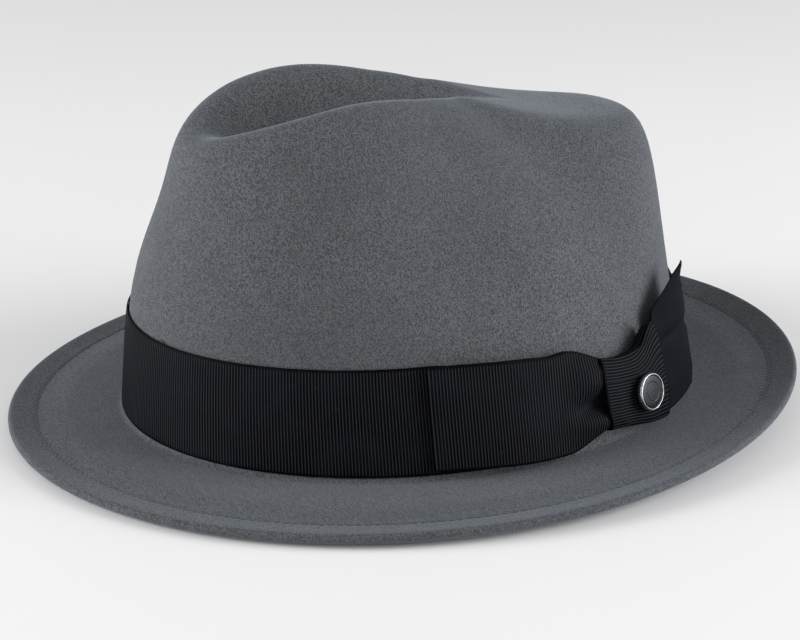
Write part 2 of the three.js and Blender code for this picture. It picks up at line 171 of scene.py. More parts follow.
# ---- the set, in metres and degrees ----
CAMERA_AIM = (-0.000715, -0.002773, 0.028457)
CAMERA_AZIMUTH = 67.2
CAMERA_ELEVATION = 20.8
CAMERA_DISTANCE = 0.8
LENS = 98
SENSOR = 36
FLOOR_HALF = 6
FLOOR_DROP = 0.0001  # the floor is just under the hat, which touches z = 0
HORIZON_GLOW = 0.66
ZENITH_GLOW = 0.3


# ---- small maths ----
def smooth(start, end, value):
    """0 before the start, 1 past the end and a soft step between them."""
    s = np.clip((value - start) / (end - start), 0, 1)
    return s * s * (3 - 2 * s)


def mix(a, b, s):
    """From a to b as s goes from 0 to 1."""
    return a + (b - a) * s


def bump(value, width):
    """A soft bump of height 1 round 0."""
    return np.exp(-((value / width) ** 2))


def drift(a, b, size, seed):
    """A value that wanders gently between about -1 and 1 as a and b change, the same each run."""
    total = 0
    for k in range(4):
        angle = seed + 2.4 * k
        total = total + np.sin((a * math.cos(angle) + b * math.sin(angle)) / size + 1.7 * seed + k)
    return total / 3


def rounded(value, power):
    """A sine or cosine pushed out towards -1 and 1, which squares the circle that it traces."""
    return np.sign(value) * np.abs(value) ** power


def once_round(count):
    """Evenly spaced turns, once round from 0."""
    return np.linspace(0, ONE_TURN, count, endpoint=False)


def unit(vectors):
    """The vectors at length 1."""
    return vectors / np.maximum(np.linalg.norm(vectors, axis=-1, keepdims=True), 1e-12)


def running_total(steps):
    """Totals along the first axis, from 0."""
    return np.concatenate([np.zeros_like(steps[:1]), np.cumsum(steps, axis=0)])


# ---- the felt's outer surface ----
def crown_top(y):
    """Height of the uncreased crown above the break: highest over the brow, falling to the back."""
    return CROWN_HEIGHT - BROW_DROP * smooth(*BROW_FALLS, y) - BACK_DROP * smooth(*BACK_FALLS, y)


def squareness(turn):
    """How square the crown's shoulder is, round the hat."""
    forward = np.clip(np.cos(turn), 0, 1)
    backward = np.clip(-np.cos(turn), 0, 1)
    front = (FRONT_POWER - SIDE_POWER) * forward**1.5
    back = (BACK_POWER - SIDE_POWER) * backward**8
    return SIDE_POWER + front + back


def crease_drop(x, y, z):
    """The crease: an egg-shaped hollow in the top, broad over the brow and narrow at the back."""
    along = np.clip((y - CREASE_FRONT) / (CREASE_BACK - CREASE_FRONT), 0, 1)
    egg = np.maximum(np.sin(np.pi * along**CREASE_EGG), 0)
    across = np.minimum(np.abs(x) / (CREASE_HALF_WIDTH * np.maximum(egg, 1e-6)), 1)
    depth = CREASE_DEPTH * egg**2 * mix(CREASE_MOUTH, 1, smooth(*CREASE_DEEPENS, y))
    return depth * 0.5 * (1 + np.cos(np.pi * across)) * smooth(*CREASE_FADES, z)


def dimple_push(turn, y, z):
    """How far the dent in each side wall pushes the felt towards the middle."""
    side = np.sin(turn)
    length, tall = DIMPLE_SPREAD
    spread = bump(y + DIMPLE_FORWARD, length) * bump(z - DIMPLE_HEIGHT, tall)
    return np.sign(side) * DIMPLE_DEPTH * spread * smooth(0, 0.8, np.abs(side))


def creased(turn, reach, z):
    """A point at a height above the break and a share of the wall's distance from the middle."""
    half_width = HEAD_HALF_WIDTH - SIDE_LEAN * z
    hollow = FRONT_HOLLOW * bump(z - HOLLOW_HEIGHT, HOLLOW_SPREAD)
    front = HEAD_HALF_LENGTH - FRONT_LEAN * z - hollow
    back = HEAD_HALF_LENGTH - BACK_LEAN * z
    x = reach * half_width * np.sin(turn)
    y = (back - front) / 2 - reach * (front + back) * np.cos(turn) / 2
    height = z - crease_drop(x, y, z) + REST_DROP
    return np.stack(np.broadcast_arrays(x - dimple_push(turn, y, z), y, height), axis=-1)


def crown(turn, climb):
    """The crown from the break (climb 0) to the middle of its top (climb 1)."""
    lay = (1 - climb) * np.pi / 2
    power = squareness(turn)
    size = (np.abs(np.sin(lay)) ** power + np.cos(lay) ** power) ** (1 / power)
    reach = np.sin(lay) / size
    return creased(turn, reach, crown_top(-TOP_HALF_LENGTH * reach * np.cos(turn)) * np.cos(lay) / size)


def wall(turn, height):
    """The crown's wall at a height above the break; below the break it runs straight on."""
    power = squareness(turn)
    share = np.maximum(height, 0) / crown_top(-TOP_HALF_LENGTH * np.cos(turn))
    return creased(turn, (1 - share**power) ** (1 / power), height)


def surface_normal(surface, a, b, step=1e-3):
    """The unit normal of a surface given by two values, by small steps in each."""
    first = surface(a + step, b) - surface(a - step, b)
    second = surface(a, b + step) - surface(a, b - step)
    return unit(np.cross(first, second))


def offset(surface, turn, along, out):
    """A point moved out from the felt's outer surface along its normal."""
    near = np.minimum(along, 0.98) if surface is crown else along
    away = surface_normal(surface, turn, near)
    return surface(turn, along) + away * np.asarray(out, float)[..., None]


def brim(turn, share, above):
    """The brim from the break (share 0) to its edge (share 1), at a height above its top side."""
    middle = (EDGE_FRONT + EDGE_BACK) / 2
    edge = (middle + EDGE_SIDE) / 2 - (EDGE_BACK - EDGE_FRONT) / 2 * np.cos(turn)
    edge = edge + (middle - EDGE_SIDE) / 2 * np.cos(2 * turn)
    curl = EDGE_CURL * smooth(STITCH_LINE, 1, share) - WELT_DIP * smooth(DIP_START, STITCH_LINE, share)
    z = edge * np.maximum(share, 0) ** BRIM_SWEEP + curl + above
    x = (HEAD_HALF_WIDTH + BRIM_WIDTH * share) * np.sin(turn)
    y = -(HEAD_HALF_LENGTH + BRIM_WIDTH * share) * np.cos(turn)
    return np.stack(np.broadcast_arrays(x, y, np.maximum(z + REST_DROP, 0)), axis=-1)


def bow_place(angle, height, out):
    """Degrees round the crown, height above the break and distance off the felt."""
    return offset(wall, np.radians(angle), height, out)


# ---- meshes ----
def make_object(name, points, faces, face_uv=None, sharp_degrees=50):
    """A smooth-shaded object from points in millimetres, with a UV for each face's corners."""
    mesh = bpy.data.meshes.new(name)
    mesh.from_pydata((np.asarray(points) * MM).tolist(), [], faces)
    if face_uv is not None:
        layer = mesh.uv_layers.new(name="weave")
        layer.data.foreach_set("uv", np.asarray(face_uv, np.float32).ravel())
    mesh.shade_smooth()
    mesh.set_sharp_from_angle(angle=math.radians(sharp_degrees))
    made = bpy.data.objects.new(name, mesh)
    bpy.context.scene.collection.objects.link(made)
    return made


def quads(rows, columns, wrap_rows, wrap_columns):
    """Corner numbers of the quads of a grid whose points are stored row by row."""
    i = np.arange(rows if wrap_rows else rows - 1)[:, None]
    j = np.arange(columns if wrap_columns else columns - 1)[None, :]
    i, j = np.broadcast_arrays(i, j)
    next_i = (i + 1) % rows
    next_j = (j + 1) % columns
    corners = [i * columns + j, i * columns + next_j, next_i * columns + next_j, next_i * columns + j]
    return np.stack(corners, axis=-1).reshape(-1, 4)


def face_everything_out(made):
    """Turns the faces of a closed mesh to face out."""
    mesh = bmesh.new()
    mesh.from_mesh(made.data)
    bmesh.ops.recalc_face_normals(mesh, faces=mesh.faces)
    mesh.to_mesh(made.data)
    mesh.free()
    return made


def ring_body(name, rings):
    """A closed body through rings of equal count, its first and last ring being single points."""
    middle = np.stack(rings[1:-1])
    rows, columns = middle.shape[:2]
    points = np.concatenate([middle.reshape(-1, 3), rings[0], rings[-1]])
    faces = quads(rows, columns, False, True).tolist()
    start = rows * columns
    end = start + 1
    last_row = (rows - 1) * columns
    for j in range(columns):
        k = (j + 1) % columns
        faces.append([start, k, j])
        faces.append([end, last_row + j, last_row + k])
    return face_everything_out(make_object(name, points, faces))


# How high a strip's ribs stand, the share of its length that they are counted from, and whether
# the length is measured along each thread by itself instead of along the middle one.
Ribs = namedtuple("Ribs", "height zero by_thread", defaults=(0.0, False))
NO_RIBS = Ribs(0.0)


def strip(name, place, thickness, rows, columns, closed=False, ribs=NO_RIBS):
    """A strip of cloth or leather round the middle surface place(u, v), with rounded edges.

    u runs along it and v across it, from 0 to 1. Its UV counts ribs along the length, and
    millimetres from the nearer edge. Where it has ribs, its rows follow from them.
    """
    shares = np.linspace(0, 1, LENGTH_STEPS)
    line = place(shares[:, None], np.full((1, 1), 0.5))[:, 0]
    distance = running_total(np.linalg.norm(np.diff(line, axis=0), axis=-1))
    length = distance[-1]
    pitch = length / round(length / RIB_PITCH) if closed else RIB_PITCH
    if ribs.height:
        rows = round(length / pitch * STEPS_PER_RIB)
    u = np.interp(np.linspace(0, length, rows + 1), distance, shares)
    v = np.sort(np.concatenate([np.linspace(0, 1, columns), EDGE_SHARES]))
    u, v = np.broadcast_arrays(u[:, None], v[None, :])
    middle = place(u, v)
    across = running_total(np.linalg.norm(np.diff(middle, axis=1), axis=-1).mean(axis=0))
    to_edge = np.minimum(across, across[-1] - across)
    count = thread_length(middle, across, closed, ribs) / pitch
    half = half_thickness(thickness, ribs.height, count, to_edge)
    normal = surface_normal(place, u, v, 2e-4)
    front = middle + normal * half
    back = middle - normal * half
    return strip_object(name, front, back, count, to_edge, closed)


def thread_length(middle, across, closed, ribs):
    """Distance along a strip's threads from where its ribs are counted, wandering a little."""
    along = running_total(np.linalg.norm(np.diff(middle, axis=0), axis=-1))
    if not ribs.by_thread:
        along = along[:, [along.shape[1] // 2]]
    along = along - along[[round(ribs.zero * (len(along) - 1))]]
    return along if closed else along + 0.1 * drift(across, along, 7, 3)


def half_thickness(thickness, rib_height, count, to_edge):
    """Half a strip's thickness, which is less at its rounded edges and between its ribs."""
    ridge = np.abs(np.sin(np.pi * count)) ** RIB_FULLNESS
    relief = rib_height * (ridge - 1) * smooth(PLAIN_EDGE, SELVEDGE, to_edge)
    rounding = mix(EDGE_THINNESS, 1, smooth(0, PLAIN_EDGE, to_edge) ** 0.5)
    return (thickness / 2 * rounding + relief)[..., None]


def strip_object(name, front, back, count, to_edge, closed):
    """Joins the two faces of a strip along its edges, and at its ends where it isn't closed."""
    loops = np.concatenate([front, back[:, ::-1]], axis=1)
    uv = np.stack(np.broadcast_arrays(count, to_edge), axis=-1)
    uv = np.concatenate([uv, uv[:, ::-1]], axis=1).reshape(-1, 2)
    rows, columns = loops.shape[:2]
    separate_rows = rows - 1 if closed else rows
    faces = quads(separate_rows, columns, closed, True).tolist()
    face_uv = uv[quads(rows, columns, False, True)].reshape(-1, 2).tolist()
    if not closed:
        last_row = (rows - 1) * columns
        for i in range(columns // 2 - 1):
            ring = [i, i + 1, columns - 2 - i, columns - 1 - i]
            for base, order in ((0, ring[::-1]), (last_row, ring)):
                corners = [base + k for k in order]
                faces.append(corners)
                face_uv.extend(uv[corners].tolist())
    points = loops[:separate_rows].reshape(-1, 3)
    return face_everything_out(make_object(name, points, faces, face_uv))


def cord_section(turn, thick, angle):
    """The points of a cord's section round its middle, stood up in z and out from the hat."""
    out = np.stack(np.broadcast_arrays(np.sin(turn), -np.cos(turn), 0 * turn), axis=-1)
    return out * (thick * np.cos(angle))[..., None] + UP * (thick * np.sin(angle))[..., None]


def cord_ring(name, path, radius, sides, count, twists, twist_height):
    """A closed twisted cord along path(turn)."""
    turn = once_round(count)[:, None]
    angle = once_round(sides)[None, :]
    thick = radius + twist_height * np.cos(twists * turn + 2 * angle)
    points = (path(turn) + cord_section(turn, thick, angle)).reshape(-1, 3)
    faces = quads(count, sides, True, True).tolist()
    return face_everything_out(make_object(name, points, faces))


def thread_faces(count, along, around):
    """The faces of a number of separate closed lengths of thread, stored one after another."""
    one = quads(along, around, False, True)
    last_ring = (along - 1) * around
    faces = []
    for i in range(count):
        base = i * along * around
        faces.extend((one + base).tolist())
        faces.append([base + k for k in reversed(range(around))])
        faces.append([base + last_ring + k for k in range(around)])
    return faces


def thread_radius(position):
    """The radius of a stitch from one end (-1) to the other (1), where it goes into the cloth."""
    return THREAD * np.sqrt(1 - 0.9 * np.abs(position) ** 3)


def stitch_row(name, path, count, share, sink):
    """A row of separate stitches along path(turn), each with its ends sunk into the cloth."""
    along = 7
    around = 6
    start = np.arange(count)[:, None, None] * ONE_TURN / count
    position = np.linspace(-1, 1, along)[None, :, None]
    turn = start + position * share * np.pi / count
    angle = once_round(around)[None, None, :]
    centre = path(turn[..., 0])[:, :, None, :]
    lift = UP * (-sink * np.abs(position) ** 3)[..., None]
    points = (centre + lift + cord_section(turn, thread_radius(position), angle)).reshape(-1, 3)
    return face_everything_out(make_object(name, points, thread_faces(count, along, around)))


def lathe(name, outline, place):
    """A turned piece from [radius, height] points, bottom to top, set in a 4x4 frame."""
    points = []
    faces = []
    rings = []
    for radius, height in outline:
        ring = 1 if radius == 0 else BADGE_SIDES
        rings.append(list(range(len(points), len(points) + ring)))
        for angle in once_round(BADGE_SIDES)[:ring]:
            points.append([radius * math.cos(angle), radius * math.sin(angle), height, 1])
    for low, high in zip(rings, rings[1:]):
        for j in range(BADGE_SIDES):
            corners = [low[j % len(low)], low[(j + 1) % len(low)]]
            corners += [high[(j + 1) % len(high)], high[j % len(high)]]
            faces.append(list(dict.fromkeys(corners)))
    faces = [face for face in faces if len(face) > 2]
    made = make_object(name, (np.array(points) @ place.T)[:, :3], faces, sharp_degrees=35)
    face_everything_out(made)
    edges = made.modifiers.new("rounded edges", "BEVEL")
    edges.width = BADGE_BEVEL * MM
    edges.segments = 3
    edges.limit_method = "ANGLE"
    edges.angle_limit = math.radians(30)
    return made


# ---- materials ----
def colour(tone, share=1):
    """The scene's colour for a tone of three 0 to 255 screen values, made brighter or darker."""
    def linear(value):
        value /= 255
        return value / 12.92 if value <= 0.04045 else ((value + 0.055) / 1.055) ** 2.4

    return (*(linear(share * value) for value in tone), 1)


class Finish:
    """A material whose nodes are added one call at a time."""

    def __init__(self, name, **constants):
        self.material = bpy.data.materials.new(name)
        self.material.use_nodes = True
        self.tree = self.material.node_tree
        self.shader = self.tree.nodes["Principled BSDF"]
        for key, value in constants.items():
            self.shader.inputs[key.replace("_", " ")].default_value = value
        self.here = self.add("TexCoord", {}, "Object")

    def feed(self, socket, value):
        """Links a socket's value, or sets it where it is a constant."""
        if isinstance(value, bpy.types.NodeSocket):
            self.tree.links.new(value, socket)
        else:
            socket.default_value = value

    def add(self, kind, inputs, output=0, **settings):
        """Adds a node and gives back one of its outputs."""
        node = self.tree.nodes.new("ShaderNode" + kind)
        for key, value in settings.items():
            setattr(node, key, value)
        for key, value in inputs.items():
            self.feed(node.inputs[key], value)
        return node.outputs[output]

    def math(self, operation, a, b=0.0):
        return self.add("Math", {0: a, 1: b}, operation=operation)

    def times(self, a, b):
        return self.math("MULTIPLY", a, b)

    def plus(self, a, b):
        return self.math("ADD", a, b)

    def sine(self, value):
        return self.math("SINE", value)

    def noise(self, scale, detail=2.0, rough=0.5, where=None):
        """Cloudy noise of about scale cells a metre."""
        where = where or self.here
        inputs = {"Vector": where, "Scale": scale, "Detail": detail, "Roughness": rough}
        return self.add("TexNoise", inputs, "Fac")

    def stretched(self, x, y, z):
        """This place, scaled differently along each axis."""
        return self.add("Mapping", {"Vector": self.here, "Scale": (x, y, z)})

    def spread(self, value, low, high, to_low=0.0, to_high=1.0):
        """A value between low and high, brought softly to another range."""
        inputs = {0: value, 1: low, 2: high, 3: to_low, 4: to_high}
        return self.add("MapRange", inputs, interpolation_type="SMOOTHSTEP")

    def blend(self, amount, first, second):
        """A colour between two, as the amount goes from 0 to 1."""
        return self.add("Mix", {0: amount, 6: first, 7: second}, 2, data_type="RGBA")

    def weave(self):
        """Ribs counted along the cloth, and millimetres from its nearer edge."""
        place = self.add("UVMap", {}, uv_map="weave")
        return self.add("SeparateXYZ", {0: place}).node.outputs[:2]

    def finish(self, base=None, roughness=None, height=None, strength=0.5, depth=0.1):
        """Links the colour, the roughness and a bump of that depth in millimetres."""
        if base is not None:
            self.feed(self.shader.inputs["Base Color"], base)
        if roughness is not None:
            self.feed(self.shader.inputs["Roughness"], roughness)
        if height is not None:
            inputs = {"Strength": strength, "Distance": depth * MM, "Height": height}
            self.feed(self.shader.inputs["Normal"], self.add("Bump", inputs))
        return self.material


def felt_material():
    """Wool felt: a dense nap of fine fibres, slightly mottled, with a soft bloom at grazing angles."""
    made = Finish("wool felt", Sheen_Weight=0.3, Sheen_Roughness=0.4, Specular_IOR_Level=0.15)
    made.shader.inputs["Sheen Tint"].default_value = colour((190, 200, 215))
    fleck = made.noise(2050, 2, 0.6)
    fibre = made.noise(1, 4, 0.6, made.stretched(420, 1300, 800))
    nap = made.plus(made.times(fleck, 0.75), made.times(fibre, 0.25))
    mottle = made.noise(95, 3)
    cloud = made.noise(11, 2)
    base = made.blend(made.spread(nap, 0.38, 0.62), colour((55, 57, 59)), colour((101, 104, 108)))
    darker = made.blend(made.spread(mottle, 0.3, 0.72, 0, 0.14), base, colour((65, 67, 70)))
    shade = made.blend(made.spread(cloud, 0.35, 0.7, 0, 0.3), darker, colour((73, 75, 79)))
    rough = made.spread(mottle, 0.3, 0.7, 0.88, 1.0)
    return made.finish(shade, rough, nap, strength=0.55, depth=0.25)


def thread_material(name, tone):
    """Twisted thread."""
    made = Finish(name, Sheen_Weight=0.2)
    twist = made.noise(1, 2, 0.5, made.stretched(2600, 2600, 5200))
    base = made.blend(made.spread(twist, 0.35, 0.65), colour(tone, 0.7), colour(tone))
    return made.finish(base, made.spread(twist, 0.3, 0.7, 0.6, 0.85), twist, strength=0.5, depth=0.08)


def grosgrain_material(name, shaded_gap, lit_crest):
    """Ribbed ribbon, a little worn and linty, with a painted highlight on the ribs' crests and painted
    shade in the gaps between them.
    """
    made = Finish(name, Specular_IOR_Level=0.03)
    ribs, edge = made.weave()
    wave = made.math("COSINE", made.times(made.plus(ribs, 0.5), ONE_TURN))
    inside = made.spread(edge, PLAIN_EDGE, SELVEDGE)
    # Painted highlight on the crests of the ribs, left off the smooth selvedges.
    crest_highlight = made.times(made.spread(wave, 0.3, 1.0), inside)
    warp = made.sine(made.times(edge, ONE_TURN / WARP_PITCH))
    beat = made.sine(made.times(ribs, ONE_TURN / 2))
    grain = made.times(warp, beat)
    wear = made.noise(60, 3)
    lint = made.noise(700, 3, 0.6)
    amount = made.times(crest_highlight, made.spread(grain, -1.2, 1.0, 0.72, 1.0))
    # The gap tone is painted shade between the ribs and the crest tone is a painted highlight on them.
    base = made.blend(amount, colour(shaded_gap), colour(lit_crest))
    base = made.blend(made.spread(wear, 0.4, 0.75, 0, 0.12), base, colour(lit_crest))
    base = made.blend(made.spread(lint, 0.7, 0.8, 0, 0.3), base, colour((80, 82, 88)))
    height = made.plus(made.times(grain, 0.35), made.times(lint, 0.4))
    return made.finish(base, made.spread(wear, 0.3, 0.7, 0.5, 0.68), height, strength=0.4, depth=0.06)


def leather_material(name, dark, light):
    """Soft grained leather: small cells, creased, shinier where a head has rubbed it."""
    made = Finish(name, Specular_IOR_Level=0.4)
    cells = made.add("TexVoronoi", {"Vector": made.here, "Scale": 850.0}, "Distance")
    grain = made.noise(1600, 3, 0.6)
    creases = made.noise(120, 4, 0.6)
    worn = made.noise(18, 2)
    base = made.blend(made.spread(cells, 0.1, 0.7), colour(light), colour(dark))
    base = made.blend(made.spread(creases, 0.35, 0.7, 0, 0.6), base, colour(dark, 0.8))
    height = made.math("SUBTRACT", made.times(grain, 0.3), made.times(cells, 0.7))
    height = made.plus(height, made.times(creases, 0.5))
    return made.finish(base, made.spread(worn, 0.3, 0.7, 0.38, 0.6), height, strength=0.6, depth=0.15)


def satin_material(name, dark, light):
    """Lining satin: fine threads and a soft gloss that shifts with the folds."""
    made = Finish(name, Sheen_Weight=0.3, Sheen_Roughness=0.3, Specular_IOR_Level=0.55)
    warp = made.noise(1, 2, 0.5, made.stretched(3200, 3200, 260))
    slub = made.noise(1, 3, 0.6, made.stretched(160, 160, 1900))
    folds = made.noise(26, 2)
    base = made.blend(made.spread(warp, 0.35, 0.65), colour(dark), colour(light))
    base = made.blend(made.spread(slub, 0.6, 0.8, 0, 0.5), base, colour(light, 1.3))
    rough = made.spread(folds, 0.3, 0.7, 0.3, 0.48)
    height = made.plus(made.times(warp, 0.6), made.times(slub, 0.4))
    return made.finish(base, rough, height, strength=0.35, depth=0.05)


def label_material():
    """A blank woven label: crossing threads and a darker woven border."""
    made = Finish("woven label", Sheen_Weight=0.2, Roughness=0.75)
    ribs, edge = made.weave()
    across = made.sine(made.times(ribs, 3 * ONE_TURN))
    along = made.sine(made.times(edge, 2.4 * ONE_TURN))
    threads = made.times(across, along)
    soil = made.noise(160, 3)
    base = made.blend(made.spread(threads, -0.8, 0.8), colour((158, 154, 145)), colour((196, 192, 182)))
    base = made.blend(made.spread(soil, 0.4, 0.75, 0, 0.4), base, colour((140, 136, 128)))
    border = made.add("Math", {0: edge, 1: 1.1, 2: 0.25}, operation="COMPARE")
    base = made.blend(made.times(border, 0.7), base, colour((70, 72, 80)))
    return made.finish(base, None, threads, strength=0.6, depth=0.08)


def metal_material(name, tone, roughness, fineness):
    """Plated metal with fine polishing marks and faint handling wear."""
    made = Finish(name, Metallic=1.0)
    marks = made.noise(1, 3, 0.6, made.stretched(fineness, fineness, 0.15 * fineness))
    wear = made.noise(500, 4, 0.6)
    base = made.blend(made.spread(wear, 0.4, 0.75, 0, 0.5), colour(tone), colour(tone, 0.72))
    rough = made.spread(marks, 0.3, 0.7, *roughness)
    return made.finish(base, rough, marks, strength=0.15, depth=0.03)


FELT_LOOK = felt_material()
FELT_THREAD = thread_material("felt thread", (72, 75, 79))
BLACK_THREAD = thread_material("black thread", (26, 27, 31))
# Each grosgrain's first tone is the painted shade in its rib gaps and its second the painted highlight
# on its rib crests.
GROSGRAIN = grosgrain_material("grosgrain", (4, 5, 8), (47, 49, 55))
SMOOTH_GROSGRAIN = grosgrain_material("grosgrain underside", (13, 16, 22), (18, 22, 29))
LEATHER_LOOK = leather_material("sweatband leather", (30, 26, 25), (48, 42, 40))
TAPE_LOOK = leather_material("seam tape leather", (24, 21, 20), (38, 33, 32))
SATIN_LOOK = satin_material("lining satin", (27, 29, 35), (48, 51, 60))
PIPING_LOOK = satin_material("piping satin", (44, 47, 54), (70, 74, 84))
LABEL_LOOK = label_material()
BRIGHT = metal_material("bright metal", (206, 208, 212), (0.2, 0.34), 2200)
DARK = metal_material("dark metal", (52, 54, 57), (0.28, 0.45), 2600)
STEEL = metal_material("steel", (168, 170, 174), (0.22, 0.38), 2400)


# ---- pieces ----
def add_piece(made, nodes, finish, body="hat"):
    """Gives a piece its material in a slot, parents it to its body and hides the CAD nodes that it
    stands for.
    """
    made.data.materials.append(finish)
    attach(made, body)
    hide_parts(*nodes)
    return made


# ---- the felt ----
TURNS = once_round(ROUND)


def uneven(points, free):
    """Small hand-made unevenness of the crown: all of it (free 1) where nothing lies on the felt."""
    x, y, z = points[..., 0], points[..., 1], points[..., 2]
    swell = 0.22 * drift(x + 0.4 * z, y - 0.3 * z, 11, 1) + 0.3 * drift(x, y + z, 27, 2)
    away = unit(np.stack([x / 2, y / 2.4, z - 40], axis=-1))
    return points + away * (swell * free)[:, None]


def crown_ring(climb, out):
    """A ring of the crown, above the wall that the band lies on."""
    return uneven(offset(crown, TURNS, climb, out), smooth(0.3, 0.42, climb))


def wall_ring(height, out):
    """A ring of the wall under the band."""
    return offset(wall, TURNS, height, out)


def bend_ring(angle, radius):
    """A ring of the bend from the wall (angle 0) to the brim (a quarter turn)."""
    points = brim(TURNS, (BREAK_RADIUS - radius * math.cos(angle)) / BRIM_WIDTH, 0)
    points[:, 2] = BREAK_RADIUS - radius * math.sin(angle) + REST_DROP
    return points


def wavy(turn, share):
    """How far the brim's felt waves up and down."""
    return 0.35 * share**2 * drift(120 * np.sin(turn), 145 * np.cos(turn), 30, 5)


def pulled_in(share):
    """The groove that the stitches pull, and the pucker round each one."""
    distance = (share - STITCH_LINE) * BRIM_WIDTH
    pucker = PUCKER * np.cos(STITCHES * TURNS) * bump(distance, 1.8)
    return GROOVE * bump(distance, 0.8) + pucker * smooth(0, 0.6, np.abs(distance))


def brim_thickness(share):
    """Thickness of the brim: one felt, two under the turned edge, and less at its rounded end."""
    if share < WELT_START:
        return FELT
    layers = mix(FELT + SEAM_STEP, WELT_FELT, smooth(STITCH_LINE + 0.01, 0.84, share))
    return layers - 1.6 * smooth(0.94, 1, share)


def top_ring(share):
    """A ring of the brim's top side."""
    return brim(TURNS, share, wavy(TURNS, share) - pulled_in(share))


def under_ring(share):
    """A ring of the brim's underside."""
    below = brim_thickness(share)
    if share > WELT_START:
        below = below - pulled_in(share)
    return brim(TURNS, share, wavy(TURNS, share) - below)


def edge_ring(angle):
    """A ring of the brim's rounded edge, from its underside to its top side."""
    width = EDGE_ROUND / BRIM_WIDTH
    half = brim_thickness(1 - width) / 2
    share = 1 - width + width * math.cos(angle)
    return brim(TURNS, share, wavy(TURNS, share) - half * (1 - math.sin(angle)))


def felt_body():
    """Crown and brim, one piece of felt, its edge turned under and sewn down."""
    # Where the rings lie: up the crown and the wall, round the bend and across the brim.
    climbs = np.concatenate([np.linspace(0.28, 0.5, 18), np.linspace(0.51, 0.985, 80)])
    heights = np.linspace(BREAK_RADIUS, 46, 23)
    bends = np.linspace(0, np.pi / 2, 8)[1:]
    inner = np.linspace(0.07, 0.7, 23)
    turned_edge = [WELT_START - 0.004, WELT_START + 0.004]
    stitched = STITCH_LINE + np.linspace(-2.2, 2.2, 17) / BRIM_WIDTH
    outer = np.linspace(0.82, 0.965, 14)
    round_edge = np.linspace(-np.pi / 2, np.pi / 2, 13)[1:-1]

    # From the middle of the inside, down and round the brim's edge to the middle of the outside.
    rings = [offset(crown, np.zeros(1), 1, -FELT)]
    rings += [crown_ring(climb, -FELT) for climb in climbs[::-1]]
    rings += [wall_ring(height, -FELT) for height in heights[::-1]]
    rings += [bend_ring(angle, BREAK_RADIUS + FELT) for angle in bends]
    rings += [under_ring(share) for share in [*inner, *turned_edge, *stitched[9:], *outer]]
    rings += [edge_ring(angle) for angle in round_edge]
    rings += [top_ring(share) for share in [*outer[::-1], *stitched[::-1], *inner[::-1]]]
    rings += [bend_ring(angle, BREAK_RADIUS) for angle in bends[::-1]]
    rings += [wall_ring(height, 0) for height in heights]
    rings += [crown_ring(climb, 0) for climb in climbs]
    rings.append(crown(np.zeros(1), 1))
    made = add_piece(ring_body("felt_hood", rings), ["felt_body"], FELT_LOOK)


def welt_stitches():
    """The row of stitches that holds the turned-under edge, above the brim and under it."""
    showing = GROOVE - 0.12

    def above(turn):
        return brim(turn, STITCH_LINE, wavy(turn, STITCH_LINE) - showing)

    def below(turn):
        height = wavy(turn, STITCH_LINE) - (FELT + SEAM_STEP) + showing
        return brim(turn + math.pi / STITCHES, STITCH_LINE, height)

    for side, path, sink in (("top", above, 0.25), ("under", below, -0.25)):
        made = stitch_row(f"welt_stitches_{side}", path, STITCHES, STITCH_SHARE, sink)
        add_piece(made, [f"welt_stitch_{side}"], FELT_THREAD)


# ---- the ribbons ----
def ribbon(name, node, place, columns, ribs=Ribs(RIB_HEIGHT), closed=False, finish=GROSGRAIN):
    """A piece of grosgrain ribbon."""
    made = strip(name, place, RIBBON, 0, columns, closed, ribs)
    return add_piece(made, [node], finish)


def hat_band():
    """The band round the crown, pulled tight, and gathered in where the knot is wrapped round it."""
    def place(u, v):
        turn = ONE_TURN * u
        angle = 360 * u
        x, y = 90 * np.sin(turn), 110 * np.cos(turn)  # about where it runs
        let_go = smooth(KNOT_TO - 4, TAIL_TO, angle)
        rise = smooth(KNOT_FROM - 21, KNOT_FROM + 2, angle) - let_go
        fall = smooth(LOOP_FROM, KNOT_FROM - 3, angle) - let_go
        low = BAND_BOTTOM + BAND_RISE * rise
        high = BAND_TOP - BAND_FALL * fall
        edge = 0.25 * drift(x, y, 19, 7) * v + 0.15 * drift(x, y, 13, 8) * (1 - v)
        swell = 0.12 * (1 + drift(x, y + 40 * v, 21, 9)) * np.sin(np.pi * v)
        return offset(wall, turn, mix(low, high, v) + edge, BAND_OUT + swell)

    made = ribbon("ribbon_band", "hat_band", place, 14, closed=True)


def loop_lobes(from_pit):
    """How far the gathered loop stands up at the knot: two lobes with the pleat between them."""
    lobes = 2.9 * bump(from_pit - 8.5, 7) + 2.6 * bump(from_pit + 5.5, 4.5)
    return lobes - 3.6 * bump(from_pit, 3.2)


